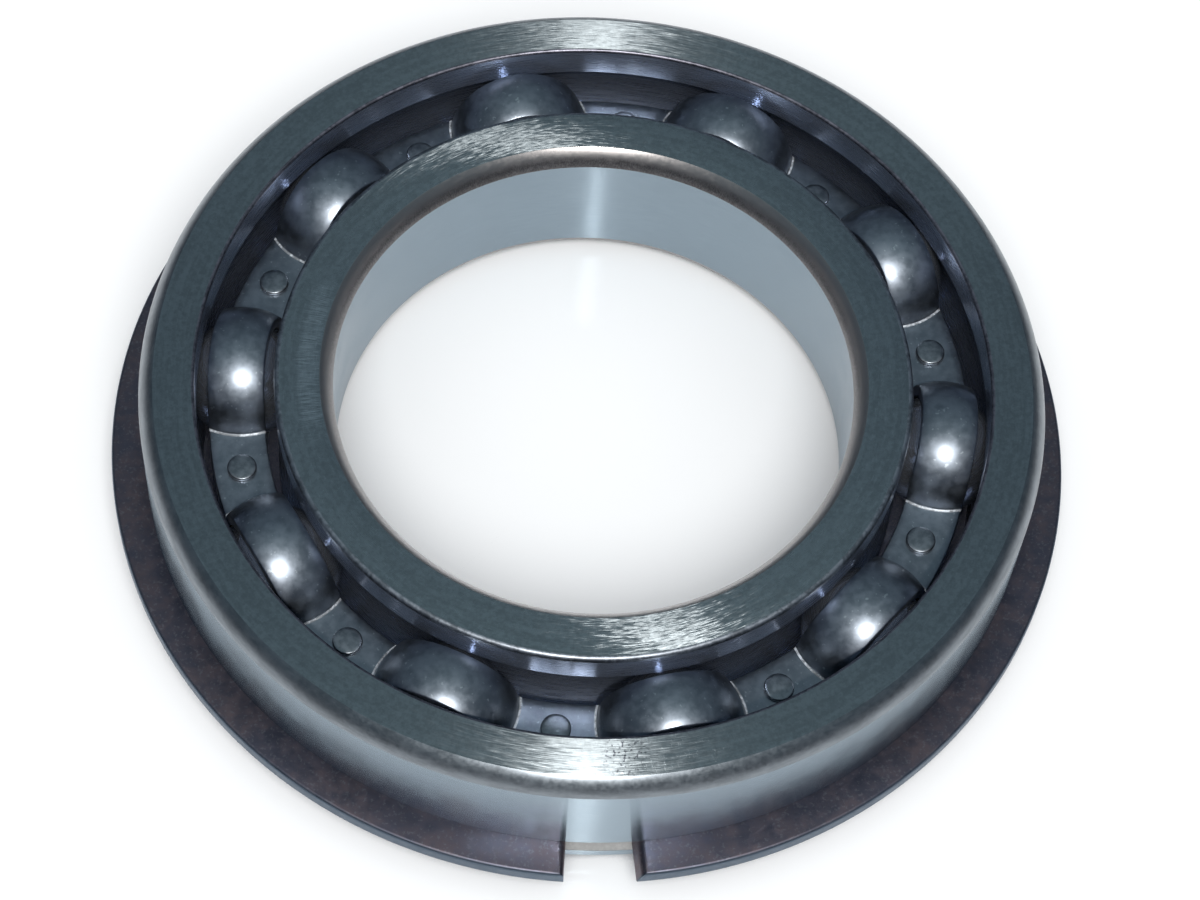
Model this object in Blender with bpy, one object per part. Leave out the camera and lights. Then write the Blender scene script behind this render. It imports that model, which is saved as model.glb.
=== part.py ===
"""Single-row deep-groove ball bearing with a snap ring round its outer ring.

The origin is the bearing's centre: on its axis and halfway through its width.
+Z runs along the axis.  The snap ring sits near the -Z face, and the gap
between its ends faces -Y.  All lengths are in metres.
"""

import math

import bmesh
import bpy

MM = 0.001

# Boundary dimensions
BORE_D = 46.0 * MM
OUTER_D = 80.0 * MM
WIDTH = 15.0 * MM
OUTER_CORNER_R = 1.3 * MM   # corner roundings, measured along the radius
BORE_CORNER_R = 1.15 * MM
CORNER_Z = 1.65 * MM        # corner roundings, measured along the axis

# Balls and raceways
BALL_D = 10.716 * MM        # 27/64 inch
BALL_COUNT = 10
BALL_START_DEG = 28.9       # azimuth of ball_01
PITCH_R = (BORE_D + OUTER_D) / 4
GROOVE_RATIO = 0.52         # raceway radius over ball diameter
BALL_GAP = 0.14 * MM        # between a ball and each raceway
OUTER_SHOULDER_R = 35.05 * MM
INNER_SHOULDER_R = 28.15 * MM
EDGE_BREAK = 0.3 * MM

# Snap ring and its groove
SNAP_GROOVE_FROM_FACE = 2.49 * MM
SNAP_GROOVE_WIDTH = 1.9 * MM
SNAP_GROOVE_R = 38.4 * MM
SNAP_THICKNESS = 1.7 * MM
SNAP_INNER_R = 38.55 * MM
SNAP_OUTER_R = 43.05 * MM
SNAP_EDGE = 0.3 * MM
SNAP_RELIEF = 0.03 * MM     # the seated part of the upper face lies this much lower
SNAP_RELIEF_R = OUTER_D / 2 + 0.1 * MM
SNAP_GAP_DEG = 9.0

# Cage
SHEET = 0.9 * MM
CAGE_SPLIT = 0.02 * MM      # from the mid-plane to each half's mating face
CAGE_INNER_R = 29.1 * MM
CAGE_OUTER_R = 34.1 * MM
POCKET_GAP = 0.22 * MM      # between a ball and its pocket
RIVET_SHANK_R = 0.8 * MM
RIVET_HOLE_R = 0.9 * MM
RIVET_HEAD_R = 1.3 * MM
RIVET_CROWN_R = 0.8 * MM
RIVET_HEAD_H = 0.4 * MM
RIVET_RISE = 0.28 * MM      # height of the head's edge above its seat
RIVET_SEAT = 0.05 * MM      # between a rivet head and the sheet

# Facets
RING_STEPS = 64
CORNER_STEPS = 2
RACEWAY_STEPS = 6
DOME_STEPS = 12
CAGE_ROWS = 3
RIVET_STEPS = 8
BALL_SUBDIVISIONS = 3
WELD = 0.001 * MM

BALL_R = BALL_D / 2
RACEWAY_R = GROOVE_RATIO * BALL_D
BALL_PITCH = math.tau / BALL_COUNT
BALL_START = math.radians(BALL_START_DEG)
FACE_Z = WIDTH / 2


def clear_scene():
    for obj in list(bpy.data.objects):
        bpy.data.objects.remove(obj, do_unlink=True)


def steel(name, colour, roughness, metallic=1.0):
    material = bpy.data.materials.new(name)
    material.use_nodes = True
    shader = material.node_tree.nodes["Principled BSDF"]
    shader.inputs["Base Color"].default_value = (*colour, 1.0)
    shader.inputs["Roughness"].default_value = roughness
    shader.inputs["Metallic"].default_value = metallic
    return material


def add_object(name, bm, material):
    """Turn a bmesh into a smooth-shaded object whose faces point out."""
    bmesh.ops.recalc_face_normals(bm, faces=bm.faces)
    mesh = bpy.data.meshes.new(name)
    bm.to_mesh(mesh)
    bm.free()
    mesh.shade_smooth()
    mesh.set_sharp_from_angle(angle=math.radians(30))
    mesh.materials.append(material)
    obj = bpy.data.objects.new(name, mesh)
    bpy.context.scene.collection.objects.link(obj)
    return obj


def add_axis(name, location):
    """Add an empty that marks the axis of a moving group."""
    empty = bpy.data.objects.new(name, None)
    empty.empty_display_size = BALL_R
    empty.location = location
    bpy.context.scene.collection.objects.link(empty)
    return empty


def arc(centre, radii, start_deg, end_deg, steps):
    """Points on an ellipse arc in the (radius, z) plane."""
    points = []
    for i in range(steps + 1):
        angle = math.radians(start_deg + (end_deg - start_deg) * i / steps)
        r = centre[0] + radii[0] * math.cos(angle)
        z = centre[1] + radii[1] * math.sin(angle)
        points.append((r, z))
    return points


def turn(outline, steps, closed=True, start=0.0, sweep=math.tau):
    """Turn an outline of (radius, z) points about the Z axis."""
    bm = bmesh.new()
    verts = []
    for r, z in outline:
        verts.append(bm.verts.new((r * math.cos(start), r * math.sin(start), z)))
    edges = [bm.edges.new(pair) for pair in zip(verts, verts[1:])]
    if closed:
        edges.append(bm.edges.new((verts[-1], verts[0])))
    bmesh.ops.spin(bm, geom=verts + edges, cent=(0, 0, 0), axis=(0, 0, 1),
                   angle=sweep, steps=steps, use_merge=sweep == math.tau)
    bmesh.ops.remove_doubles(bm, verts=bm.verts, dist=WELD)
    open_edges = [edge for edge in bm.edges if edge.is_boundary]
    bmesh.ops.holes_fill(bm, edges=open_edges, sides=0)
    return bm


def raceway(shoulder_r, side):
    """Raceway arc from the upper shoulder down; side is +1 outer, -1 inner."""
    centre_r = PITCH_R + side * (BALL_R + BALL_GAP - RACEWAY_R)
    reach = math.degrees(math.acos(abs(shoulder_r - centre_r) / RACEWAY_R))
    return arc((centre_r, 0.0), (side * RACEWAY_R, RACEWAY_R), reach, -reach, RACEWAY_STEPS)


def outer_ring_outline():
    corner_r = OUTER_D / 2 - OUTER_CORNER_R
    radii = (OUTER_CORNER_R, CORNER_Z)
    corner_z = FACE_Z - CORNER_Z
    groove_low = SNAP_GROOVE_FROM_FACE - FACE_Z
    groove_high = groove_low + SNAP_GROOVE_WIDTH
    points = arc((corner_r, corner_z), radii, 90, 0, CORNER_STEPS)
    points += [
        (OUTER_D / 2, groove_high),
        (SNAP_GROOVE_R, groove_high),
        (SNAP_GROOVE_R, groove_low),
        (OUTER_D / 2, groove_low),
    ]
    points += arc((corner_r, -corner_z), radii, 0, -90, CORNER_STEPS)
    points += [
        (OUTER_SHOULDER_R + EDGE_BREAK, -FACE_Z),
        (OUTER_SHOULDER_R, EDGE_BREAK - FACE_Z),
    ]
    points += reversed(raceway(OUTER_SHOULDER_R, 1))
    points += [
        (OUTER_SHOULDER_R, FACE_Z - EDGE_BREAK),
        (OUTER_SHOULDER_R + EDGE_BREAK, FACE_Z),
    ]
    return points


def inner_ring_outline():
    corner_r = BORE_D / 2 + BORE_CORNER_R
    radii = (BORE_CORNER_R, CORNER_Z)
    corner_z = FACE_Z - CORNER_Z
    points = [
        (INNER_SHOULDER_R - EDGE_BREAK, FACE_Z),
        (INNER_SHOULDER_R, FACE_Z - EDGE_BREAK),
    ]
    points += raceway(INNER_SHOULDER_R, -1)
    points += [
        (INNER_SHOULDER_R, EDGE_BREAK - FACE_Z),
        (INNER_SHOULDER_R - EDGE_BREAK, -FACE_Z),
    ]
    points += arc((corner_r, -corner_z), radii, 270, 180, CORNER_STEPS)
    points += arc((corner_r, corner_z), radii, 180, 90, CORNER_STEPS)
    return points


def snap_ring_outline():
    groove_mid = SNAP_GROOVE_FROM_FACE + SNAP_GROOVE_WIDTH / 2 - FACE_Z
    low = groove_mid - SNAP_THICKNESS / 2
    high = groove_mid + SNAP_THICKNESS / 2
    return [
        (SNAP_INNER_R, high - SNAP_RELIEF),
        (SNAP_RELIEF_R, high - SNAP_RELIEF),
        (SNAP_RELIEF_R, high),
        (SNAP_OUTER_R - SNAP_EDGE, high),
        (SNAP_OUTER_R, high - SNAP_EDGE),
        (SNAP_OUTER_R, low + SNAP_EDGE),
        (SNAP_OUTER_R - SNAP_EDGE, low),
        (SNAP_INNER_R, low),
    ]


def add_rings(steel_ring, steel_snap):
    outer = turn(outer_ring_outline(), RING_STEPS)
    add_object("outer_ring", outer, steel_ring)
    gap = math.radians(SNAP_GAP_DEG)
    start = -math.pi / 2 + gap / 2
    snap = turn(snap_ring_outline(), RING_STEPS - 2, start=start, sweep=math.tau - gap)
    add_object("snap_ring", snap, steel_snap)
    shaft_axis = add_axis("inner_ring_axis", (0, 0, 0))
    inner = turn(inner_ring_outline(), RING_STEPS)
    add_object("inner_ring", inner, steel_ring).parent = shaft_axis


def ball_place(index):
    angle = BALL_START + index * BALL_PITCH
    return (PITCH_R * math.cos(angle), PITCH_R * math.sin(angle), 0.0)


def add_balls(material, cage_axis):
    for i in range(BALL_COUNT):
        bm = bmesh.new()
        bmesh.ops.create_icosphere(bm, subdivisions=BALL_SUBDIVISIONS, radius=BALL_R)
        ball = add_object(f"ball_{i + 1:02d}", bm, material)
        ball.location = ball_place(i)
        ball.parent = cage_axis


def pocket_half_angle(r, reach):
    """Half-angle, about the bearing's axis, of a pocket of this reach at radius r."""
    cosine = (r * r + PITCH_R * PITCH_R - reach * reach) / (2 * r * PITCH_R)
    return math.acos(cosine)


def cage_row(r, sphere_r, web_z):
    """One closed row of cage points at radius r, over every pocket and web."""
    reach = math.sqrt(sphere_r * sphere_r - web_z * web_z)
    half = pocket_half_angle(r, reach)
    offsets = [-half * math.cos(math.pi * step / DOME_STEPS) for step in range(DOME_STEPS + 1)]
    offsets.append(BALL_PITCH / 2)
    row = []
    for i in range(BALL_COUNT):
        for offset in offsets:
            flat = r * r + PITCH_R * PITCH_R - 2 * r * PITCH_R * math.cos(offset)
            z = math.sqrt(max(sphere_r * sphere_r - flat, web_z * web_z))
            angle = BALL_START + i * BALL_PITCH + offset
            row.append((r * math.cos(angle), r * math.sin(angle), z))
    return row


def join_rows(bm, first, second):
    count = len(first)
    for i in range(count):
        j = (i + 1) % count
        bm.faces.new((first[i], first[j], second[j], second[i]))


def cage_half(side):
    """One pressed half: spherical pockets joined by flat webs; side is +1 or -1."""
    bm = bmesh.new()
    pocket_r = BALL_R + POCKET_GAP
    loops = []
    for sphere_r, web_z in ((pocket_r, CAGE_SPLIT), (pocket_r + SHEET, CAGE_SPLIT + SHEET)):
        rows = []
        for k in range(CAGE_ROWS + 1):
            r = CAGE_INNER_R + (CAGE_OUTER_R - CAGE_INNER_R) * k / CAGE_ROWS
            points = cage_row(r, sphere_r, web_z)
            rows.append([bm.verts.new((x, y, side * z)) for x, y, z in points])
        loops.append(rows)
    for rows in loops:
        for first, second in zip(rows, rows[1:]):
            join_rows(bm, first, second)
    join_rows(bm, loops[0][0], loops[1][0])
    join_rows(bm, loops[0][-1], loops[1][-1])
    return bm


def rivet_place(index):
    angle = BALL_START + (index - 0.5) * BALL_PITCH
    r = (CAGE_INNER_R + CAGE_OUTER_R) / 2
    return (r * math.cos(angle), r * math.sin(angle), 0.0)


def rivet_outline():
    seat = CAGE_SPLIT + SHEET + RIVET_SEAT
    upper = [
        (0.0, seat + RIVET_HEAD_H),
        (RIVET_CROWN_R, seat + RIVET_HEAD_H),
        (RIVET_HEAD_R, seat + RIVET_RISE),
        (RIVET_HEAD_R, seat),
        (RIVET_SHANK_R, seat),
    ]
    lower = [(r, -z) for r, z in reversed(upper)]
    return upper + lower


def add_hole_cutter():
    """One guide object that holds a cylinder for every rivet hole."""
    bm = bmesh.new()
    for i in range(BALL_COUNT):
        made = bmesh.ops.create_cone(bm, cap_ends=True, segments=RIVET_STEPS * 2,
                                     radius1=RIVET_HOLE_R, radius2=RIVET_HOLE_R,
                                     depth=6 * SHEET)
        bmesh.ops.translate(bm, verts=made["verts"], vec=rivet_place(i))
    cutter = add_object("rivet_hole_cutter", bm, bpy.data.materials["cage_steel"])
    cutter.hide_render = True
    cutter.display_type = "WIRE"
    return cutter


def add_cage(steel_cage, steel_rivet, cage_axis):
    cutter = add_hole_cutter()
    for name, side in (("cage_half_upper", 1), ("cage_half_lower", -1)):
        half = add_object(name, cage_half(side), steel_cage)
        half.parent = cage_axis
        holes = half.modifiers.new("rivet_holes", "BOOLEAN")
        holes.operation = "DIFFERENCE"
        holes.solver = "EXACT"
        holes.object = cutter
    for i in range(BALL_COUNT):
        bm = turn(rivet_outline(), RIVET_STEPS, closed=False)
        rivet = add_object(f"rivet_{i + 1:02d}", bm, steel_rivet)
        rivet.location = rivet_place(i)
        rivet.parent = cage_axis


def main():
    clear_scene()
    steel_ring = steel("ring_steel", (0.42, 0.46, 0.50), 0.30)
    steel_snap = steel("snap_ring_steel", (0.13, 0.11, 0.11), 0.45)
    steel_ball = steel("ball_steel", (0.55, 0.57, 0.60), 0.08)
    steel_cage = steel("cage_steel", (0.30, 0.32, 0.35), 0.38)
    steel_rivet = steel("rivet_steel", (0.36, 0.38, 0.41), 0.42)
    add_rings(steel_ring, steel_snap)
    cage_axis = add_axis("cage_axis", (0, 0, 0))
    add_balls(steel_ball, cage_axis)
    add_cage(steel_cage, steel_rivet, cage_axis)


main()
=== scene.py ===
import math

import bmesh
import bpy
import numpy as np
from mathutils import Matrix, Vector


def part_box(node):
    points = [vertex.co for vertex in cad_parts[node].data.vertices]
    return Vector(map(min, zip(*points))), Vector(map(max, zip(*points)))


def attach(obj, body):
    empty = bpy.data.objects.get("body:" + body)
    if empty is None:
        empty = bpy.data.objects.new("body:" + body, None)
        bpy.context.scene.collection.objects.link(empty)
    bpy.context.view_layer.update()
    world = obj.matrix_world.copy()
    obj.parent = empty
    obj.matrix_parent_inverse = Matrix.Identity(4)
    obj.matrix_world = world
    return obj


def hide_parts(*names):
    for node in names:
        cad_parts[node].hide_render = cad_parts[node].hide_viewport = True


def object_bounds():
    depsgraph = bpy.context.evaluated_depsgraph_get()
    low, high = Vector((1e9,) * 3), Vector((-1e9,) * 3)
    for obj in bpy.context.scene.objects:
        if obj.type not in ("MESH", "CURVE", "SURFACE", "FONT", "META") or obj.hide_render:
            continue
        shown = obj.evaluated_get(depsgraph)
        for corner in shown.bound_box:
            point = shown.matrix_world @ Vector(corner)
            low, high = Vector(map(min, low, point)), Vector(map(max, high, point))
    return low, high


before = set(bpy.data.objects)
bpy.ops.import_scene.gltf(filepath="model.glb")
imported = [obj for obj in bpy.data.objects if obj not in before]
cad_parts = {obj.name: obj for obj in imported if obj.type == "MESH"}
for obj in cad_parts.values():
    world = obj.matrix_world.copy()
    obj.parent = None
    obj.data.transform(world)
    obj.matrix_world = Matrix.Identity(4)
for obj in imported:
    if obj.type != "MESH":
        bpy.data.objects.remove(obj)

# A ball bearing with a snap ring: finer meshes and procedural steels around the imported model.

cad_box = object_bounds()
MM = 0.001


# ------------------------------------------------------------ sizes read from the frame

def node_radii(node):
    """Smallest and largest distance of a CAD node's surface points from the bearing's axis."""
    points = np.array([tuple(v.co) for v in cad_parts[node].data.vertices])
    distance = np.hypot(points[:, 0], points[:, 1])
    return float(distance.min()), float(distance.max())


def gap_angle(node):
    """Angle of the opening of a split ring whose gap faces -Y."""
    points = np.array([tuple(v.co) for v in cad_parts[node].data.vertices])
    off_gap = np.abs(np.arctan2(points[:, 0], -points[:, 1]))
    return 2 * float(off_gap.min())


def middle(node):
    low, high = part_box(node)
    return (low + high) / 2


BORE_R, INNER_SHOULDER_R = node_radii("inner_ring")
OUTER_SHOULDER_R, OUTER_R = node_radii("outer_ring")
CAGE_INNER_R, CAGE_OUTER_R = node_radii("cage_half_upper")
SNAP_INNER_R, SNAP_OUTER_R = node_radii("snap_ring")
FACE_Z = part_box("inner_ring")[1].z
SNAP_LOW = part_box("snap_ring")[0].z
SNAP_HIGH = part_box("snap_ring")[1].z
SNAP_GAP = gap_angle("snap_ring")
BALL_R = (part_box("ball_01")[1].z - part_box("ball_01")[0].z) / 2
PITCH_R = (BORE_R + OUTER_R) / 2
BALL_COUNT = sum(name.startswith("ball_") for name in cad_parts)
BALL_PITCH = math.tau / BALL_COUNT
BALL_START = math.atan2(middle("ball_01").y, middle("ball_01").x)
POCKET_SHELL_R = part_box("cage_half_upper")[1].z
HEAD_TOP_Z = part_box("rivet_01")[1].z

# ------------------------------------------------------------ detail sizes

CORNER_Z = 1.65 * MM            # height of the turned corners
OUTER_CORNER = 1.3 * MM         # and their width, on the outside diameter
BORE_CORNER = 1.15 * MM         # and in the bore
CORNER_START = 66               # the corner's arc runs between these angles, so it meets
OUTER_CORNER_END = 22           # both the face and the wall at an edge
BORE_CORNER_END = 27
OUTER_BREAK = 0.28 * MM         # rounding of the outer ring's shoulder edge
INNER_BREAK = 0.45 * MM
CRISP = 0.07 * MM               # rounding of an edge left sharp by grinding
BALL_GAP = 0.14 * MM
GROOVE_RATIO = 0.52             # raceway radius over ball diameter
SNAP_GROOVE_R = 38.4 * MM
SNAP_SIDE_GAP = 0.1 * MM
GROOVE_EDGE = 0.08 * MM
GROOVE_ROOT = 0.2 * MM
SNAP_EDGE = 0.32 * MM
SNAP_INNER_EDGE = 0.12 * MM
SNAP_END_ROLL = 0.55 * MM       # rounding of the upper edge at the snap ring's two ends
LEFT_END_SLANT = 0.05 * MM      # how much further the lower edge of each end reaches
RIGHT_END_SLANT = 0.5 * MM
SHEET = 0.9 * MM
CAGE_SPLIT = 0.02 * MM
BEND_R = 0.3 * MM               # inside radius between a pocket and the web
SHEET_EDGE = 0.12 * MM
RIVET_R = 31.6 * MM
RIVET_SHANK_R = 0.8 * MM
RIVET_HOLE_R = 0.9 * MM
RIVET_HEAD_R = 1.3 * MM
RIVET_SEAT = 0.01 * MM
RIVET_ROUND = 0.16 * MM         # rounding of a head's upper rim
RIVET_CHAMFER = 0.1 * MM        # and of its lower rim
RIVET_DISH = 0.05 * MM          # how much the middle of a head stands over its rim

OUTER_SPREAD = 0.08             # spread of the grinding direction on the faces, in turns
INNER_SPREAD = 0.18
INNER_SWIRL = (-0.03, -0.20)    # lean of the inner ring's lay at the bore and out at OUTER_R
SCUFF_GLINT_DIRECTION = 177           # middle of a rubbed patch on the inner ring's face, painted bright as a glint, in degrees
SCUFF_GLINT_HALF_WIDTH = 11
SCUFF_GLINT_NEAR_R = 23.9 * MM
SCUFF_GLINT_FAR_R = 26.4 * MM
SCUFF_GLINT_FADE = 0.9 * MM
PITS_AT = (1.4 * MM, -36.8 * MM)  # a spot of pitting on the outer ring's face

RING_STEPS = 240
SNAP_STEPS = 240
SNAP_EDGE_STEPS = 4
SNAP_SIDE_STEPS = 6
CAGE_STEP = 0.6 * MM
CORNER_STEPS = 8
RACEWAY_STEPS = 18
DOME_STEPS = 20
BEND_STEPS = 4
CREASE_STEPS = 2                # how many of the bend's steps, from the web, are painted bright as a highlight
WEB_STEPS = 6
RIVET_STEPS = 36

# ------------------------------------------------------------ colours of the steels

FACE_STEEL = (0.43, 0.47, 0.49)
# rubbed patch, painted near-white as a glint where it catches the light
SCUFF_AND_GLINT_STEEL = (0.86, 0.90, 0.93)
SCRATCHED_STEEL = (0.60, 0.66, 0.70)
PITTED_STEEL = (0.13, 0.14, 0.16)
WALL_STEEL = (0.292, 0.36, 0.415)
CORNER_STEEL = (0.27, 0.295, 0.32)
BORE_CORNER_STEEL = (0.205, 0.19, 0.19)
# painted highlight along the top of the bore's corner
CORNER_PAINTED_HIGHLIGHT = (0.46, 0.43, 0.42)
EDGE_STEEL = (0.42, 0.45, 0.50)
OUTER_EDGE_STEEL = (0.30, 0.29, 0.34)
GROOVE_STEEL = (0.68, 0.68, 0.67)
RACEWAY_STEEL = (0.32, 0.365, 0.47)
OILED = 0.90                    # how metallic the oily running surfaces and balls look
CAGE_STEEL = (0.33, 0.365, 0.415)
CAGE_SPECK = (0.55, 0.60, 0.64)
# painted highlight along the cage's bends
CREASE_PAINTED_HIGHLIGHT = (0.80, 0.85, 0.90)
RIVET_STEEL = (0.32, 0.345, 0.375)
BALL_STEEL = (0.55, 0.58, 0.63)
SNAP_BLACK = (0.155, 0.145, 0.186)
SNAP_BROWN = (0.205, 0.160, 0.176)
SNAP_SPECK = (0.24, 0.22, 0.25)
# painted reflection on the snap ring's outer rim
SNAP_RIM_PAINTED_REFLECTION = (0.11, 0.145, 0.19)

# ------------------------------------------------------------ stage

FLOOR_SIZE = 6.0
FLOOR_WHITE = (0.90, 0.91, 0.91)
FLOOR_PAINTED_SHADE = (0.09, 0.10, 0.16)  # painted shade, where the bearing closes the floor in
FLOOR_PAINTED_DARK = (0.10, 0.12, 0.14)    # painted shade: what the steel mirrors of the floor beyond the painted pool of light
PAINTED_LIT_POOL = 0.30                 # radius of the painted pool of light
SKY = (0.70, 0.71, 0.73)          # soft light on the floor from all round
ROOM_LOW = (0.05, 0.06, 0.08)     # what the steel mirrors, near the horizon
ROOM_HIGH = (0.095, 0.13, 0.16)   # higher up
ROOM_TOP = (0.20, 0.27, 0.30)     # and overhead
BACKDROP = (0.86, 0.88, 0.90)
LIGHT_AZIMUTH = 1.0
LIGHT_ELEVATION = 58.5
LIGHT_DISTANCE = 1.2
KEY_DIAMETER = 0.065
KEY_WATTS = 8.6
KEY_COLOUR = (1.0, 0.99, 0.97)
SOFTBOX_DIAMETER = 0.80
SOFTBOX_WATTS = 10.8
SOFTBOX_COLOUR = (1.0, 1.0, 1.0)
CAMERA_AZIMUTH = -6.14
CAMERA_ELEVATION = 59.46
CAMERA_ROLL = 5.27
CAMERA_DISTANCE = 0.292
LENS = 97.47
SHIFT_X = 0.0074
SHIFT_Y = -0.0289


# ------------------------------------------------------------ mesh helpers

def arc(centre, radii, start_deg, end_deg, steps):
    """Points on an ellipse arc in the (radius, z) plane."""
    points = []
    for i in range(steps + 1):
        angle = math.radians(start_deg + (end_deg - start_deg) * i / steps)
        r = centre[0] + radii[0] * math.cos(angle)
        z = centre[1] + radii[1] * math.sin(angle)
        points.append((r, z))
    return points


def fillet(before, corner, after, radius, steps=3):
    """Points that round one corner of an outline."""
    here = Vector(corner)
    back = (Vector(before) - here).normalized()
    ahead = (Vector(after) - here).normalized()
    half = back.angle(ahead) / 2
    centre = here + (back + ahead).normalized() * (radius / math.sin(half))
    first = here + back * (radius / math.tan(half)) - centre
    last = here + ahead * (radius / math.tan(half)) - centre
    sweep = math.atan2(first.cross(last), first.dot(last))
    return [tuple(centre + Matrix.Rotation(sweep * k / steps, 2) @ first) for k in range(steps + 1)]


def rounded(corners, radii, steps=3):
    """A closed outline whose corners are rounded by these radii; 0 keeps a corner as it is."""
    points = []
    for i, (corner, radius) in enumerate(zip(corners, radii)):
        if radius:
            after = corners[(i + 1) % len(corners)]
            points += fillet(corners[i - 1], corner, after, radius, steps)
        else:
            points.append(corner)
    return points


def lathe(outline, steps):
    """Turn a closed outline of (radius, z, material index) points about the Z axis."""
    bm = bmesh.new()
    rows = []
    for k in range(steps):
        c, s = math.cos(math.tau * k / steps), math.sin(math.tau * k / steps)
        rows.append([bm.verts.new((r * c, r * s, z)) for r, z, _ in outline])
    for k, row in enumerate(rows):
        following = rows[(k + 1) % steps]
        for i, (_, _, index) in enumerate(outline):
            j = (i + 1) % len(outline)
            face = bm.faces.new((row[i], row[j], following[j], following[i]))
            face.material_index = index
    return bm


def add_piece(name, bm, materials, body, node, sharp_deg=35):
    """Turn a bmesh into a piece that rides on a CAD body and stands for a CAD node."""
    bmesh.ops.recalc_face_normals(bm, faces=bm.faces)
    mesh = bpy.data.meshes.new(name)
    bm.to_mesh(mesh)
    bm.free()
    mesh.shade_smooth()
    mesh.set_sharp_from_angle(angle=math.radians(sharp_deg))
    for material in materials:
        mesh.materials.append(material)
    piece = bpy.data.objects.new(name, mesh)
    bpy.context.scene.collection.objects.link(piece)
    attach(piece, body)
    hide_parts(node)
    return piece


# ------------------------------------------------------------ material helpers

def add(tree, kind, inputs=None, **settings):
    """Add a shader node; inputs are values or sockets, by name or number."""
    node = tree.nodes.new(kind)
    for key, value in settings.items():
        setattr(node, key, value)
    for key, value in (inputs or {}).items():
        if isinstance(value, bpy.types.NodeSocket):
            tree.links.new(value, node.inputs[key])
        else:
            node.inputs[key].default_value = value
    return node


def calc(tree, operation, *values):
    return add(tree, "ShaderNodeMath", dict(enumerate(values)), operation=operation).outputs[0]


def remap(tree, value, low, high, to_low=0.0, to_high=1.0):
    """Map low..high onto to_low..to_high, smoothly and without running past either end."""
    inputs = {0: value, 1: low, 2: high, 3: to_low, 4: to_high}
    node = add(tree, "ShaderNodeMapRange", inputs, interpolation_type="SMOOTHSTEP")
    return node.outputs[0]


def noise(tree, vector, scale, detail=2.0, roughness=0.5):
    inputs = {"Vector": vector, "Scale": scale, "Detail": detail, "Roughness": roughness}
    return add(tree, "ShaderNodeTexNoise", inputs).outputs[0]


def mix_colour(tree, factor, first, second):
    node = add(tree, "ShaderNodeMix", data_type="RGBA")
    for socket, value in ((0, factor), (6, first), (7, second)):
        if isinstance(value, bpy.types.NodeSocket):
            tree.links.new(value, node.inputs[socket])
        else:
            node.inputs[socket].default_value = value if socket == 0 else (*value, 1.0)
    return node.outputs[2]


def cylinder_coordinates(tree, centre=(0.0, 0.0)):
    """Sockets: point, distance from an axis parallel to Z, height, and direction (unit x and y)."""
    point = add(tree, "ShaderNodeTexCoord").outputs["Object"]
    split = add(tree, "ShaderNodeSeparateXYZ", {0: point})
    x = calc(tree, "SUBTRACT", split.outputs[0], centre[0])
    y = calc(tree, "SUBTRACT", split.outputs[1], centre[1])
    squares = calc(tree, "MULTIPLY_ADD", x, x, calc(tree, "MULTIPLY", y, y))
    distance = calc(tree, "SQRT", squares)
    return {
        "point": point,
        "r": distance,
        "z": split.outputs[2],
        "ux": calc(tree, "DIVIDE", x, distance),
        "uy": calc(tree, "DIVIDE", y, distance),
    }


def lay(tree, where, across, spacing, run):
    """Coordinates for lines that follow circles: spacing between lines, run round the circle."""
    along = [calc(tree, "MULTIPLY", where[u], run) for u in ("ux", "uy")]
    height = calc(tree, "DIVIDE", across, spacing)
    return add(tree, "ShaderNodeCombineXYZ", {0: along[0], 1: along[1], 2: height}).outputs[0]


def steel(name, colour, roughness, **fixed):
    """A Principled material, metallic unless told otherwise, its constants on its own sockets."""
    material = bpy.data.materials.new(name)
    material.use_nodes = True
    tree = material.node_tree
    shader = tree.nodes["Principled BSDF"]
    shader.inputs["Base Color"].default_value = (*colour, 1.0)
    shader.inputs["Roughness"].default_value = roughness
    shader.inputs["Metallic"].default_value = 1.0
    for key, value in fixed.items():
        shader.inputs[key.replace("_", " ")].default_value = value
    return material, tree, shader


def connect(tree, shader, colour, roughness, height=None, depth=0.0):
    """Link colour and roughness sockets, and a height socket of this depth as bump."""
    tree.links.new(colour, shader.inputs["Base Color"])
    tree.links.new(roughness, shader.inputs["Roughness"])
    if height is not None:
        inputs = {"Height": height, "Strength": 1.0, "Distance": depth}
        bump = add(tree, "ShaderNodeBump", inputs)
        tree.links.new(bump.outputs[0], shader.inputs["Normal"])


def varied(tree, tone, colour, darker, lighter):
    """A colour that runs from darker to lighter times itself as the tone goes from 0 to 1."""
    return mix_colour(tree, tone, tuple(darker * c for c in colour), tuple(lighter * c for c in colour))


def lay_round_z(tree, shader):
    """Point the shader's anisotropy round the bearing's axis."""
    tangent = add(tree, "ShaderNodeTangent", direction_type="RADIAL", axis="Z")
    tree.links.new(tangent.outputs[0], shader.inputs["Tangent"])


# ------------------------------------------------------------ materials

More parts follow.
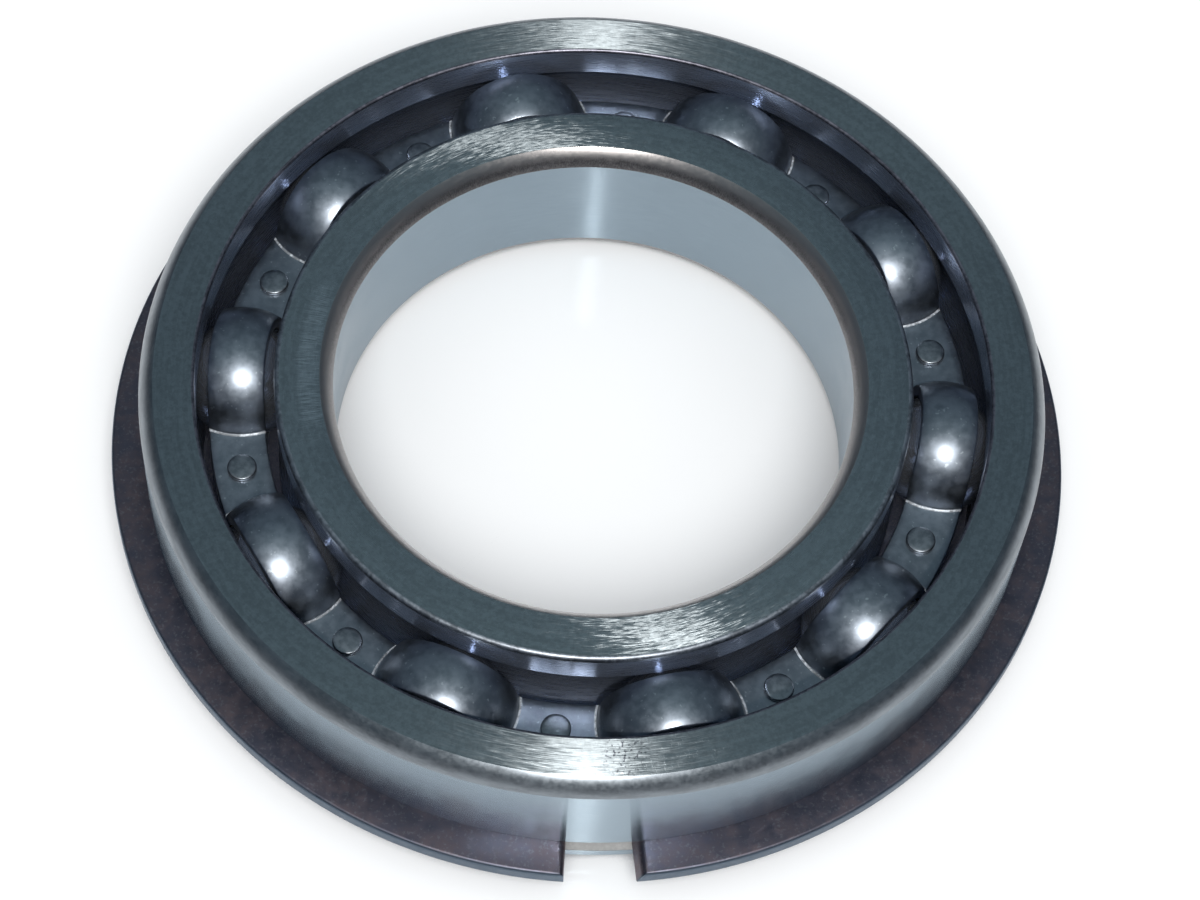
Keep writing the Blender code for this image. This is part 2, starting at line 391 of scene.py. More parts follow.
def scuff_and_glint_mask(tree, here):
    """Mask of one soft patch of a ring's face that is rubbed in fine lines across the grinding and
    painted bright as a glint.
    """
    towards = math.radians(SCUFF_GLINT_DIRECTION)
    along_x = calc(tree, "MULTIPLY", here["ux"], math.cos(towards))
    turned = calc(tree, "MULTIPLY_ADD", here["uy"], math.sin(towards), along_x)
    inside = math.cos(math.radians(SCUFF_GLINT_HALF_WIDTH))
    outside = math.cos(math.radians(SCUFF_GLINT_HALF_WIDTH + 14))
    sector = remap(tree, turned, outside, inside)
    past_near = remap(tree, here["r"], SCUFF_GLINT_NEAR_R - SCUFF_GLINT_FADE, SCUFF_GLINT_NEAR_R + SCUFF_GLINT_FADE)
    short_of_far = remap(tree, here["r"], SCUFF_GLINT_FAR_R + SCUFF_GLINT_FADE, SCUFF_GLINT_FAR_R - SCUFF_GLINT_FADE)
    gate = calc(tree, "MULTIPLY", sector, calc(tree, "MULTIPLY", past_near, short_of_far))
    grain = noise(tree, lay(tree, here, here["r"], 1.3 * MM, 330.0), 1.0, 3.0, 0.6)
    grain = calc(tree, "MULTIPLY_ADD", gate, 0.25, grain)
    return calc(tree, "MULTIPLY", remap(tree, grain, 0.60, 0.95), gate)


def ground_face(name, roughness, scratch_centre, seed_shift, swirl, spread, scuffed_and_glinting=False, pits_at=None):
    """Side face of a ring, ground in circles: fans of light, fine lines, stray scratches.

    swirl is how far the lay leans off the circle, in turns, at radius BORE_R and at OUTER_R,
    and spread is how much it varies from line to line."""
    material, tree, shader = steel(name, FACE_STEEL, roughness, Anisotropic=1.0)
    here = cylinder_coordinates(tree)
    dashes = noise(tree, lay(tree, here, here["r"], 0.09 * MM, 20.0 + seed_shift), 1.0, 3.0, 0.6)
    lean = remap(tree, here["r"], BORE_R, OUTER_R, *swirl)
    wobble = calc(tree, "MULTIPLY_ADD", dashes, spread, 0.25 - spread / 2)
    tree.links.new(calc(tree, "ADD", lean, wobble), shader.inputs["Anisotropic Rotation"])
    lay_round_z(tree, shader)
    fine = noise(tree, lay(tree, here, here["r"], 0.08 * MM, 34.0 + seed_shift), 1.0, 3.0, 0.65)
    broad = noise(tree, lay(tree, here, here["r"], 0.45 * MM, 3.0 + seed_shift), 1.0, 3.0, 0.55)
    off = cylinder_coordinates(tree, scratch_centre)
    stray = noise(tree, lay(tree, off, off["r"], 0.09 * MM, 60.0), 1.0, 3.0, 0.6)
    patches = noise(tree, here["point"], 80.0 + seed_shift, 2.0)
    gate = remap(tree, patches, 0.50, 0.64)
    scratch = calc(tree, "MULTIPLY", remap(tree, stray, 0.60, 0.72), gate)
    mottled = noise(tree, here["point"], 2600.0, 4.0, 0.65)
    tone = calc(tree, "MULTIPLY_ADD", broad, 0.35, calc(tree, "MULTIPLY", mottled, 0.65))
    base = varied(tree, remap(tree, tone, 0.38, 0.62), FACE_STEEL, 0.87, 1.13)
    base = mix_colour(tree, calc(tree, "MULTIPLY", scratch, 0.5), base, SCRATCHED_STEEL)
    if scuffed_and_glinting:
        # partly real rubbed lines, partly a painted glint: the patch is painted near-white
        base = mix_colour(tree, scuff_and_glint_mask(tree, here), base, SCUFF_AND_GLINT_STEEL)
    if pits_at:
        around = cylinder_coordinates(tree, pits_at)
        close = remap(tree, around["r"], 2.6 * MM, 1.2 * MM)
        speckle = remap(tree, noise(tree, here["point"], 3300.0, 2.0), 0.56, 0.66)
        base = mix_colour(tree, calc(tree, "MULTIPLY", close, speckle), base, PITTED_STEEL)
    rough = remap(tree, fine, 0.28, 0.72, roughness - 0.055, roughness + 0.055)
    lines = calc(tree, "MULTIPLY_ADD", scratch, -0.5, fine)
    height = calc(tree, "MULTIPLY_ADD", mottled, 0.4, lines)
    connect(tree, shader, base, rough, height, 0.002 * MM)
    return material


def ground_wall(name, colour, waviness):
    """Outside diameter or bore, ground round: light stretches along the axis over fine lines.

    waviness is the depth of the wobble round the ring, against that of the fine lines."""
    material, tree, shader = steel(name, colour, 0.21, Anisotropic=1.0, Anisotropic_Rotation=0.25)
    here = cylinder_coordinates(tree)
    lay_round_z(tree, shader)
    fine = noise(tree, lay(tree, here, here["z"], 0.06 * MM, 12.0), 1.0, 3.0, 0.6)
    cloudy = noise(tree, here["point"], 260.0, 4.0, 0.6)
    wavy = noise(tree, lay(tree, here, here["z"], 0.22 * MM, 70.0), 1.0, 2.0)
    tone = calc(tree, "MULTIPLY_ADD", fine, 0.5, calc(tree, "MULTIPLY", cloudy, 0.5))
    base = varied(tree, remap(tree, tone, 0.36, 0.64), colour, 0.93, 1.06)
    rough = remap(tree, cloudy, 0.3, 0.7, 0.19, 0.24)
    height = calc(tree, "MULTIPLY_ADD", wavy, waviness, fine)
    connect(tree, shader, base, rough, height, 0.0008 * MM)
    return material


def turned_corner(name, colour, run, contrast, coat, rubbed=None):
    """Corners left as turned and hardened, finely grained; run sets how long the grain is.

    rubbed is a lighter colour painted near the face, a painted highlight along the corner's top."""
    material, tree, shader = steel(name, colour, 0.34, Anisotropic=0.5, Anisotropic_Rotation=0.25,
                                   Coat_Weight=coat, Coat_Roughness=0.22)
    here = cylinder_coordinates(tree)
    lay_round_z(tree, shader)
    along = calc(tree, "ADD", here["r"], here["z"])
    lines = noise(tree, lay(tree, here, along, 0.25 * MM, run), 1.0, 3.0, 0.6)
    scale = noise(tree, here["point"], 2600.0, 4.0, 0.65)
    patch = noise(tree, here["point"], 210.0, 3.0, 0.6)
    grain = calc(tree, "MULTIPLY_ADD", lines, 0.6, calc(tree, "MULTIPLY", scale, 0.25))
    tone = calc(tree, "MULTIPLY_ADD", patch, 0.15, grain)
    base = varied(tree, remap(tree, tone, 0.38, 0.62), colour, 1 - contrast, 1 + contrast)
    # painted highlight: the corner is painted lighter near the face
    if rubbed:
        high = remap(tree, here["z"], FACE_Z - 1.1 * MM, FACE_Z - 0.3 * MM)
        base = mix_colour(tree, high, base, rubbed)
    rough = remap(tree, scale, 0.3, 0.7, 0.30, 0.39)
    height = calc(tree, "MULTIPLY_ADD", scale, 0.8, lines)
    connect(tree, shader, base, rough, height, 0.0018 * MM)
    return material


def worn_and_highlight_steel(name, colour, metallic, roughness, dullest=0.55):
    """Rubbed edges and clean-turned grooves, and the cage's creases painted as a highlight: light,
    satin, broken up by dull spots.
    """
    material, tree, shader = steel(name, colour, roughness, Metallic=metallic)
    here = cylinder_coordinates(tree)
    worn = noise(tree, here["point"], 520.0, 4.0, 0.65)
    grain = noise(tree, here["point"], 3000.0, 3.0, 0.6)
    tone = calc(tree, "MULTIPLY_ADD", worn, 0.6, calc(tree, "MULTIPLY", grain, 0.4))
    base = varied(tree, remap(tree, tone, 0.40, 0.58), colour, dullest, 1.0)
    rough = remap(tree, grain, 0.3, 0.7, roughness - 0.05, roughness + 0.05)
    connect(tree, shader, base, rough, grain, 0.0015 * MM)
    return material


def raceway_steel(name):
    """Ground and honed running surface, bright where it catches the light."""
    material, tree, shader = steel(name, RACEWAY_STEEL, 0.27, Metallic=OILED, Anisotropic=0.8,
                                   Anisotropic_Rotation=0.25)
    here = cylinder_coordinates(tree)
    lay_round_z(tree, shader)
    lines = noise(tree, lay(tree, here, here["z"], 0.06 * MM, 10.0), 1.0, 3.0, 0.6)
    base = varied(tree, remap(tree, lines, 0.3, 0.7), RACEWAY_STEEL, 0.88, 1.1)
    rough = remap(tree, lines, 0.3, 0.7, 0.24, 0.31)
    connect(tree, shader, base, rough, lines, 0.0008 * MM)
    return material


def cage_steel(name):
    """Pressed sheet steel: satin, with a fine grain, faint smudges and rubbed specks."""
    material, tree, shader = steel(name, CAGE_STEEL, 0.40, Coat_Weight=0.3, Coat_Roughness=0.2)
    here = cylinder_coordinates(tree)
    grain = noise(tree, here["point"], 3800.0, 3.0, 0.6)
    mottle = noise(tree, here["point"], 1100.0, 5.0, 0.62)
    patch = noise(tree, here["point"], 260.0, 3.0, 0.5)
    tone = calc(tree, "MULTIPLY_ADD", mottle, 0.6, calc(tree, "MULTIPLY", patch, 0.4))
    base = varied(tree, remap(tree, tone, 0.38, 0.62), CAGE_STEEL, 0.86, 1.14)
    specks = remap(tree, noise(tree, here["point"], 2300.0, 2.0), 0.66, 0.74)
    base = mix_colour(tree, specks, base, CAGE_SPECK)
    rough = remap(tree, mottle, 0.3, 0.7, 0.34, 0.43)
    height = calc(tree, "MULTIPLY_ADD", mottle, 1.6, grain)
    connect(tree, shader, base, rough, height, 0.0011 * MM)
    return material


def rivet_steel(name):
    """Upset rivet heads: a little darker than the sheet, dimpled by the tool."""
    material, tree, shader = steel(name, RIVET_STEEL, 0.36)
    here = cylinder_coordinates(tree)
    mottle = noise(tree, here["point"], 1500.0, 4.0, 0.6)
    base = varied(tree, remap(tree, mottle, 0.35, 0.65), RIVET_STEEL, 0.82, 1.2)
    rough = remap(tree, mottle, 0.3, 0.7, 0.31, 0.42)
    connect(tree, shader, base, rough, mottle, 0.004 * MM)
    return material


def ball_steel(name):
    """Lapped ball with a thin film of oil."""
    material, tree, shader = steel(name, BALL_STEEL, 0.07, Metallic=OILED)
    here = cylinder_coordinates(tree)
    film = noise(tree, here["point"], 210.0, 4.0, 0.6)
    base = varied(tree, remap(tree, film, 0.35, 0.65), BALL_STEEL, 0.85, 1.0)
    rough = remap(tree, film, 0.35, 0.65, 0.05, 0.11)
    connect(tree, shader, base, rough)
    return material


def snap_steel(name):
    """Blackened spring steel with brown staining; its rim is painted bluer, a painted reflection."""
    material, tree, shader = steel(name, SNAP_BLACK, 0.4)
    here = cylinder_coordinates(tree)
    lines = noise(tree, lay(tree, here, here["r"], 0.14 * MM, 14.0), 1.0, 3.0, 0.65)
    stain = noise(tree, here["point"], 750.0, 6.0, 0.70)
    cloud = noise(tree, here["point"], 170.0, 3.0, 0.6)
    tone = calc(tree, "MULTIPLY_ADD", stain, 0.6, calc(tree, "MULTIPLY", cloud, 0.4))
    base = mix_colour(tree, remap(tree, tone, 0.36, 0.68), SNAP_BLACK, SNAP_BROWN)
    specks = remap(tree, noise(tree, here["point"], 3600.0, 3.0), 0.54, 0.70)
    base = mix_colour(tree, specks, base, SNAP_SPECK)
    # painted reflection: the outer rim is painted bluer
    rim = remap(tree, here["r"], SNAP_OUTER_R - SNAP_EDGE, SNAP_OUTER_R)
    base = mix_colour(tree, rim, base, SNAP_RIM_PAINTED_REFLECTION)
    rough = remap(tree, stain, 0.3, 0.7, 0.38, 0.52)
    height = calc(tree, "MULTIPLY_ADD", stain, 1.0, lines)
    connect(tree, shader, base, rough, height, 0.0024 * MM)
    return material


# ------------------------------------------------------------ rings

FACE, WALL, CORNER, RACEWAY, EDGE, GROOVE = range(6)


def corner_arc(wall_r, width, side):
    """Turned corner from the upper face to the wall; side is +1 outside, -1 in the bore."""
    end_deg = OUTER_CORNER_END if side > 0 else BORE_CORNER_END
    start, end = math.radians(CORNER_START), math.radians(end_deg)
    across = width / (math.cos(end) - math.cos(start))
    along = CORNER_Z / (math.sin(start) - math.sin(end))
    centre = (wall_r - side * across * math.cos(end), FACE_Z - along * math.sin(start))
    return arc(centre, (side * across, along), CORNER_START, end_deg, CORNER_STEPS)


def raceway_arc(shoulder_r, side):
    """Raceway from the upper shoulder down; side is +1 outer, -1 inner."""
    groove_r = GROOVE_RATIO * 2 * BALL_R
    centre_r = PITCH_R + side * (BALL_R + BALL_GAP - groove_r)
    reach = math.degrees(math.acos(abs(shoulder_r - centre_r) / groove_r))
    return arc((centre_r, 0.0), (side * groove_r, groove_r), reach, -reach, RACEWAY_STEPS)


def shoulder_edge(shoulder_r, width, side):
    """Broken edge from a shoulder up onto the face."""
    centre = (shoulder_r + side * width, FACE_Z - width)
    return arc(centre, (-side * width, width), 0, 90, 5)


def tag(points, index):
    return [(r, z, index) for r, z in points]


def mirrored(outline, closing):
    """An outline's run below the mid-plane, walked the other way; closing is its last index."""
    backwards = outline[::-1]
    indices = [index for _, _, index in backwards[1:]] + [closing]
    return [(r, -z, index) for (r, z, _), index in zip(backwards, indices)]


def upper_outline(shoulder_r, shoulder_break, wall_r, corner_width, side):
    """From a ring's upper shoulder over its face and corner to its wall; side is +1 outer."""
    edge = shoulder_edge(shoulder_r, shoulder_break, side)
    corner = corner_arc(wall_r, corner_width, side)
    wall_end = fillet(corner[-2], corner[-1], (wall_r, 0.0), CRISP)
    crisp = fillet(edge[-1], corner[0], corner[1], CRISP)
    return (tag(edge[:-1], EDGE) + tag(edge[-1:], FACE) + tag(crisp, CORNER)
            + tag(corner[1:-1], CORNER) + tag(wall_end[:-1], CORNER) + tag(wall_end[-1:], WALL))


def outer_ring_mesh():
    upper = upper_outline(OUTER_SHOULDER_R, OUTER_BREAK, OUTER_R, OUTER_CORNER, 1)
    groove_low = SNAP_LOW - SNAP_SIDE_GAP
    groove_high = SNAP_HIGH + SNAP_SIDE_GAP
    groove = rounded(
        [(OUTER_R, groove_high), (SNAP_GROOVE_R, groove_high),
         (SNAP_GROOVE_R, groove_low), (OUTER_R, groove_low)],
        [GROOVE_EDGE, GROOVE_ROOT, GROOVE_ROOT, GROOVE_EDGE])
    outline = upper + tag(groove[:-1], GROOVE) + tag(groove[-1:], WALL)
    outline += mirrored(upper, RACEWAY)
    outline += tag(raceway_arc(OUTER_SHOULDER_R, 1)[::-1], RACEWAY)
    return lathe(outline, RING_STEPS)


def inner_ring_mesh():
    upper = upper_outline(INNER_SHOULDER_R, INNER_BREAK, BORE_R, BORE_CORNER, -1)
    outline = upper + mirrored(upper, RACEWAY)
    outline += tag(raceway_arc(INNER_SHOULDER_R, -1)[::-1], RACEWAY)
    return lathe(outline, RING_STEPS)


def add_rings():
    raceway = raceway_steel("raceway")
    inner_edge = worn_and_highlight_steel("inner_edge", EDGE_STEEL, 1.0, 0.40)
    outer_edge = worn_and_highlight_steel("outer_edge", OUTER_EDGE_STEEL, 1.0, 0.40)
    groove = worn_and_highlight_steel("snap_groove", GROOVE_STEEL, 0.45, 0.5, 0.85)
    outer_looks = [
        ground_face("outer_face", 0.37, (0.065, -0.02), 0.0, (0.0, 0.0), OUTER_SPREAD,
                    pits_at=PITS_AT),
        ground_wall("outside_diameter", WALL_STEEL, 1.5),
        turned_corner("outer_corner", CORNER_STEEL, 14.0, 0.15, 0.05),
        raceway, outer_edge, groove]
    inner_looks = [
        ground_face("inner_face", 0.31, (-0.05, 0.035), 1.7, INNER_SWIRL, INNER_SPREAD,
                    scuffed_and_glinting=True),
        ground_wall("bore_wall", WALL_STEEL, 4.5),
        turned_corner("bore_corner", BORE_CORNER_STEEL, 260.0, 0.35, 0.5, CORNER_PAINTED_HIGHLIGHT),
        raceway, inner_edge]
    add_piece("outer_ring_turned", outer_ring_mesh(), outer_looks, "outer", "outer_ring")
    add_piece("inner_ring_turned", inner_ring_mesh(), inner_looks, "inner", "inner_ring")


# ------------------------------------------------------------ snap ring

def snap_section():
    """Rows (z, inner radius, outer radius) of the snap ring's section, from low to high."""
    low_edge = []
    high_edge = []
    for k in range(SNAP_EDGE_STEPS + 1):
        angle = math.pi / 2 * k / SNAP_EDGE_STEPS
        inset = 1 - math.sin(angle)
        rise = SNAP_EDGE * (1 - math.cos(angle))
        radii = (SNAP_INNER_R + SNAP_INNER_EDGE * inset, SNAP_OUTER_R - SNAP_EDGE * inset)
        low_edge.append((SNAP_LOW + rise, *radii))
        high_edge.insert(0, (SNAP_HIGH - rise, *radii))
    start, end = low_edge[-1][0], high_edge[0][0]
    heights = [start + (end - start) * k / SNAP_SIDE_STEPS for k in range(1, SNAP_SIDE_STEPS)]
    return low_edge + [(z, SNAP_INNER_R, SNAP_OUTER_R) for z in heights] + high_edge


def end_setback(z, slant):
    """How far the end's surface stands back at this height: rolled on top, slanted below."""
    above = min(SNAP_END_ROLL, max(0.0, z - (SNAP_HIGH - SNAP_END_ROLL)))
    roll = SNAP_END_ROLL - math.sqrt(SNAP_END_ROLL ** 2 - above ** 2)
    return roll - slant * (SNAP_HIGH - z) / (SNAP_HIGH - SNAP_LOW)


def snap_ring_mesh():
    section = snap_section()
    bm = bmesh.new()
    loops = []
    for k in range(SNAP_STEPS + 1):
        share = k / SNAP_STEPS
        sides = []
        for column in (1, 2):
            line = []
            for row in section:
                z, r = row[0], row[column]
                first = SNAP_GAP / 2 + end_setback(z, RIGHT_END_SLANT) / r
                last = math.tau - SNAP_GAP / 2 - end_setback(z, LEFT_END_SLANT) / r
                angle = first + (last - first) * share - math.pi / 2
                line.append(bm.verts.new((r * math.cos(angle), r * math.sin(angle), z)))
            sides.append(line)
        loops.append(sides)
    for sides, after in zip(loops, loops[1:]):
        ring = sides[0][::-1] + sides[1]
        following = after[0][::-1] + after[1]
        for i in range(len(ring)):
            j = (i + 1) % len(ring)
            bm.faces.new((ring[i], ring[j], following[j], following[i]))
    for inner, outer in (loops[0], loops[-1]):
        for i in range(len(inner) - 1):
            bm.faces.new((inner[i], inner[i + 1], outer[i + 1], outer[i]))
    return bm


def add_snap_ring():
    add_piece("snap_ring_sprung", snap_ring_mesh(), [snap_steel("snap_ring_black")],
              "outer", "snap_ring")


# ------------------------------------------------------------ cage

SHEET_SIDE, CREASE = range(2)


def pocket_offset(r, reach):
    """Angle about the bearing's axis from a pocket's middle to a point this far from it, at radius r."""
    cosine = (r * r + PITCH_R * PITCH_R - reach * reach) / (2 * r * PITCH_R)
    return math.acos(max(-1.0, min(1.0, cosine)))


def cage_line(r, level):
    """One closed line of cage points at radius r; level is the height in the sheet, 0 at the pocket."""
    shell_r = POCKET_SHELL_R - SHEET + level
    web_z = CAGE_SPLIT + level
    bend_r = BEND_R + SHEET - level
    bend_z = CAGE_SPLIT + SHEET + BEND_R
    bend_reach = math.sqrt((POCKET_SHELL_R + BEND_R) ** 2 - bend_z ** 2)
    tilt = math.atan2(bend_z, bend_reach)
    shell_reach = shell_r * math.cos(tilt)
    half = pocket_offset(r, shell_reach)
    points = []
    for k in range(DOME_STEPS + 1):
        offset = -half * math.cos(math.pi * k / DOME_STEPS)
        reach2 = r * r + PITCH_R * PITCH_R - 2 * r * PITCH_R * math.cos(offset)
        points.append((offset, math.sqrt(shell_r * shell_r - reach2)))
    bend = []
    for k in range(1, BEND_STEPS + 1):
        angle = tilt + (math.pi / 2 - tilt) * k / BEND_STEPS
        reach = bend_reach - bend_r * math.cos(angle)
        bend.append((pocket_offset(r, reach), bend_z - bend_r * math.sin(angle)))
    web_start = bend[-1][0]
    points += bend
    for k in range(1, WEB_STEPS):
        points.append((web_start + (BALL_PITCH - 2 * web_start) * k / WEB_STEPS, web_z))
    points += [(BALL_PITCH - offset, z) for offset, z in reversed(bend)]
    return points


def cage_section():
    """Closed outline of the sheet's section as (radius, level) points, its sheared edges rounded."""
    corners = [(CAGE_INNER_R, 0.0), (CAGE_OUTER_R, 0.0), (CAGE_OUTER_R, SHEET), (CAGE_INNER_R, SHEET)]
    outline = rounded(corners, [SHEET_EDGE] * 4)
    points = []
    for i, first in enumerate(outline):
        second = outline[(i + 1) % len(outline)]
        steps = max(1, round(math.dist(first, second) / CAGE_STEP))
        for k in range(steps):
            points.append(tuple(a + (b - a) * k / steps for a, b in zip(first, second)))
    return points


def cage_half_mesh(side):
    """One pressed half: spherical pockets joined by flat webs; side is +1 or -1."""
    bm = bmesh.new()
    lines = []
    for r, level in cage_section():
        line = []
        for sector in range(BALL_COUNT):
            for offset, z in cage_line(r, level):
                angle = BALL_START + sector * BALL_PITCH + offset
                line.append(bm.verts.new((r * math.cos(angle), r * math.sin(angle), side * z)))
        lines.append(line)
    per_pocket = len(lines[0]) // BALL_COUNT
    web_start = DOME_STEPS + BEND_STEPS
    web_end = web_start + WEB_STEPS
    creased = [*range(web_start - CREASE_STEPS, web_start), *range(web_end, web_end + CREASE_STEPS)]
    for k, line in enumerate(lines):
        following = lines[(k + 1) % len(lines)]
        for i in range(len(line)):
            j = (i + 1) % len(line)
            face = bm.faces.new((line[i], line[j], following[j], following[i]))
            face.material_index = CREASE if i % per_pocket in creased else SHEET_SIDE
    return bm


def rivet_middle(index):
    angle = BALL_START + (index - 0.5) * BALL_PITCH
    return Vector((RIVET_R * math.cos(angle), RIVET_R * math.sin(angle), 0.0))


def rivet_hole_cutter():
    bm = bmesh.new()
    for i in range(BALL_COUNT):
        made = bmesh.ops.create_cone(bm, cap_ends=True, segments=24, radius1=RIVET_HOLE_R,
                                     radius2=RIVET_HOLE_R, depth=6 * SHEET)
        bmesh.ops.translate(bm, verts=made["verts"], vec=rivet_middle(i))
    mesh = bpy.data.meshes.new("rivet_hole_cutter")
    bm.to_mesh(mesh)
    bm.free()
    cutter = bpy.data.objects.new("rivet_hole_cutter", mesh)
    bpy.context.scene.collection.objects.link(cutter)
    return cutter


def rivet_mesh(index):
    """A rivet with a low, slightly crowned head on each side of the cage."""
    seat = CAGE_SPLIT + SHEET + RIVET_SEAT
    crown = HEAD_TOP_Z
    flat_r = RIVET_HEAD_R - RIVET_ROUND
    head = [(RIVET_SHANK_R, seat), (RIVET_HEAD_R - RIVET_CHAMFER, seat)]
    rim = (RIVET_HEAD_R - RIVET_CHAMFER, seat + RIVET_CHAMFER)
    head += arc(rim, (RIVET_CHAMFER, RIVET_CHAMFER), -60, 0, 2)
    head += arc((flat_r, crown - RIVET_DISH - RIVET_ROUND), (RIVET_ROUND, RIVET_ROUND), 0, 75, 4)
    for k in range(1, 5):
        share = 1 - k / 5
        head.append((flat_r * share, crown - RIVET_DISH * share ** 2))
    bm = bmesh.new()
    lower = [(r, -z) for r, z in head]
    rows = []
    place = rivet_middle(index)
    for r, z in lower[::-1] + head:
        row = []
        for k in range(RIVET_STEPS):
            angle = math.tau * k / RIVET_STEPS
            row.append(bm.verts.new(place + Vector((r * math.cos(angle), r * math.sin(angle), z))))
        rows.append(row)
    for row, following in zip(rows, rows[1:]):
        for i in range(RIVET_STEPS):
            j = (i + 1) % RIVET_STEPS
            bm.faces.new((row[i], row[j], following[j], following[i]))
    for row, sign in ((rows[0], -1), (rows[-1], 1)):
        tip = bm.verts.new(place + Vector((0, 0, sign * crown)))
        for i in range(RIVET_STEPS):
            bm.faces.new((row[i], row[(i + 1) % RIVET_STEPS], tip))
    return bm


def add_cage():
    # the creases are painted light, a painted highlight along each bend
    looks = [cage_steel("cage_sheet"), worn_and_highlight_steel("cage_crease_highlight", CREASE_PAINTED_HIGHLIGHT, 0.4, 0.5, 0.3)]
    cutter = rivet_hole_cutter()
    for name, side in (("cage_half_upper", 1), ("cage_half_lower", -1)):
        half = add_piece(name.replace("half", "pressing"), cage_half_mesh(side), looks,
                         "cage", name)
        holes = half.modifiers.new("rivet_holes", "BOOLEAN")
        holes.operation = "DIFFERENCE"
        holes.solver = "EXACT"
        holes.object = cutter
        evaluated = half.evaluated_get(bpy.context.evaluated_depsgraph_get())
        drilled = bpy.data.meshes.new_from_object(evaluated)
        half.modifiers.clear()
        half.data = drilled
    bpy.data.objects.remove(cutter)
    rivet = rivet_steel("rivet")
    for i in range(BALL_COUNT):
        add_piece(f"rivet_upset_{i + 1:02d}", rivet_mesh(i), [rivet], "cage",
                  f"rivet_{i + 1:02d}")


def add_balls():
    polished = ball_steel("ball_polished")
    for i in range(BALL_COUNT):
        node = f"ball_{i + 1:02d}"
        bm = bmesh.new()
        bmesh.ops.create_icosphere(bm, subdivisions=4, radius=BALL_R)
        bmesh.ops.translate(bm, verts=bm.verts, vec=middle(node))
        add_piece(f"{node}_lapped", bm, [polished], node, node)


# ------------------------------------------------------------ stage, light and camera

def back_vector(azimuth_deg, elevation_deg):
    """Direction from the bearing towards a viewer; azimuth 0 stands at -Y and 90 at +X."""
    a, e = math.radians(azimuth_deg), math.radians(elevation_deg)
    return Vector((math.sin(a) * math.cos(e), -math.cos(a) * math.cos(e), math.sin(e)))


def add_floor():
    bm = bmesh.new()
    bmesh.ops.create_grid(bm, x_segments=2, y_segments=2, size=FLOOR_SIZE / 2)
    bmesh.ops.translate(bm, verts=bm.verts, vec=(0, 0, cad_box[0].z))
    mesh = bpy.data.meshes.new("floor")
    bm.to_mesh(mesh)
    bm.free()
    material = bpy.data.materials.new("floor_white")
    material.use_nodes = True
    tree = material.node_tree
    shader = tree.nodes["Principled BSDF"]
    shader.inputs["Roughness"].default_value = 0.12
    shader.inputs["Specular IOR Level"].default_value = 0.2
    # painted shade: the floor's colour darkens where ambient occlusion finds the bearing closing it in
    nook = add(tree, "ShaderNodeAmbientOcclusion", {"Distance": FACE_Z * 2}, samples=8)
    openness = remap(tree, nook.outputs["AO"], 0.04, 0.26)
    near = mix_colour(tree, openness, FLOOR_PAINTED_SHADE, FLOOR_WHITE)
    point = add(tree, "ShaderNodeTexCoord").outputs["Object"]
    distance = add(tree, "ShaderNodeVectorMath", {0: point}, operation="LENGTH").outputs["Value"]
    path = add(tree, "ShaderNodeLightPath")
    # painted pool of light: for mirrored rays only, the floor's colour darkens beyond the pool
    painted_dark_far = calc(tree, "MULTIPLY", path.outputs["Is Glossy Ray"],
                        remap(tree, distance, PAINTED_LIT_POOL / 3, PAINTED_LIT_POOL))
    tree.links.new(mix_colour(tree, painted_dark_far, near, FLOOR_PAINTED_DARK), shader.inputs["Base Color"])
    mesh.materials.append(material)
    floor = bpy.data.objects.new("floor", mesh)
    bpy.context.scene.collection.objects.link(floor)


def add_light(name, diameter, watts, colour, seen_in_steel):
    """A round soft light; either the steel mirrors it or the floor takes its light."""
    light = bpy.data.lights.new(name, "AREA")
    light.shape = "DISK"
    light.size = diameter
    light.energy = watts
    light.color = colour
    lamp = bpy.data.objects.new(name, light)
    toward = back_vector(LIGHT_AZIMUTH, LIGHT_ELEVATION)
    lamp.location = toward * LIGHT_DISTANCE
    lamp.rotation_mode = "QUATERNION"
    lamp.rotation_quaternion = toward.to_track_quat("Z", "Y")
    lamp.visible_glossy = seen_in_steel
    lamp.visible_diffuse = not seen_in_steel
    bpy.context.scene.collection.objects.link(lamp)


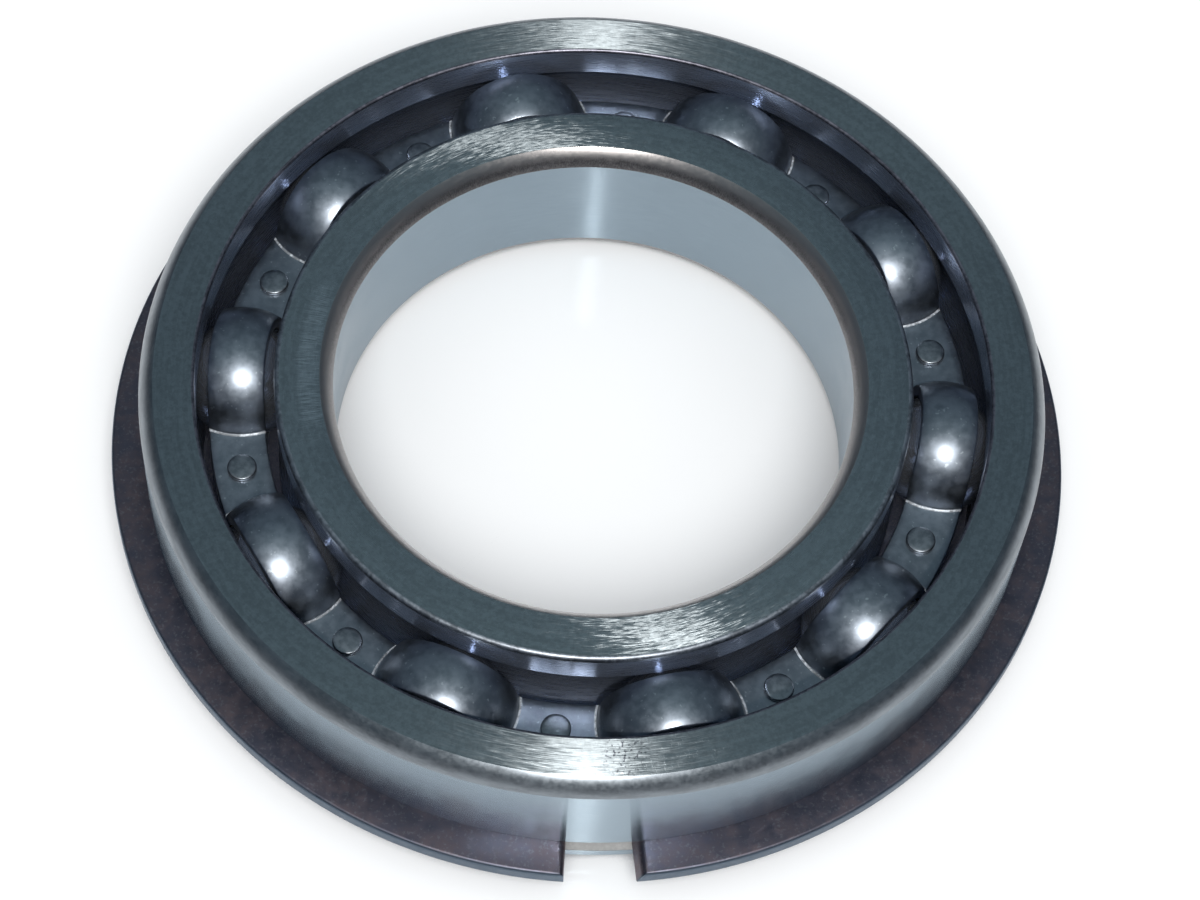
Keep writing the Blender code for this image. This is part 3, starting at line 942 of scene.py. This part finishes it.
def add_surroundings():
    """A pale backdrop and soft light for the floor; the steel mirrors a dim blue-grey room."""
    world = bpy.data.worlds.new("studio")
    bpy.context.scene.world = world
    world.use_nodes = True
    tree = world.node_tree
    tree.nodes.clear()
    direction = add(tree, "ShaderNodeTexCoord").outputs["Generated"]
    height = add(tree, "ShaderNodeSeparateXYZ", {0: direction}).outputs[2]
    walls = mix_colour(tree, remap(tree, height, 0.0, 0.55), ROOM_LOW, ROOM_HIGH)
    room = mix_colour(tree, remap(tree, height, 0.72, 1.0), walls, ROOM_TOP)
    path = add(tree, "ShaderNodeLightPath")
    soft = mix_colour(tree, path.outputs["Is Diffuse Ray"], room, SKY)
    shown = mix_colour(tree, path.outputs["Is Camera Ray"], soft, BACKDROP)
    background = add(tree, "ShaderNodeBackground", {"Color": shown, "Strength": 1.0})
    output = add(tree, "ShaderNodeOutputWorld")
    tree.links.new(background.outputs[0], output.inputs[0])


def add_camera():
    camera_data = bpy.data.cameras.new("camera")
    camera_data.lens = LENS
    camera_data.sensor_width = 36.0
    camera_data.shift_x = SHIFT_X
    camera_data.shift_y = SHIFT_Y
    camera_data.clip_start = 0.01
    camera = bpy.data.objects.new("camera", camera_data)
    back = back_vector(CAMERA_AZIMUTH, CAMERA_ELEVATION)
    level = Vector((0, 0, 1)).cross(back).normalized()
    rise = back.cross(level)
    roll = math.radians(CAMERA_ROLL)
    right = level * math.cos(roll) + rise * math.sin(roll)
    up = rise * math.cos(roll) - level * math.sin(roll)
    turned = Matrix((right, up, back)).transposed().to_4x4()
    camera.matrix_world = Matrix.Translation(back * CAMERA_DISTANCE) @ turned
    bpy.context.scene.collection.objects.link(camera)
    bpy.context.scene.camera = camera


def main():
    add_rings()
    add_snap_ring()
    add_cage()
    add_balls()
    add_floor()
    add_surroundings()
    add_light("key", KEY_DIAMETER, KEY_WATTS, KEY_COLOUR, True)
    add_light("softbox", SOFTBOX_DIAMETER, SOFTBOX_WATTS, SOFTBOX_COLOUR, False)
    add_camera()
    bpy.context.scene.view_settings.view_transform = "Standard"


main()
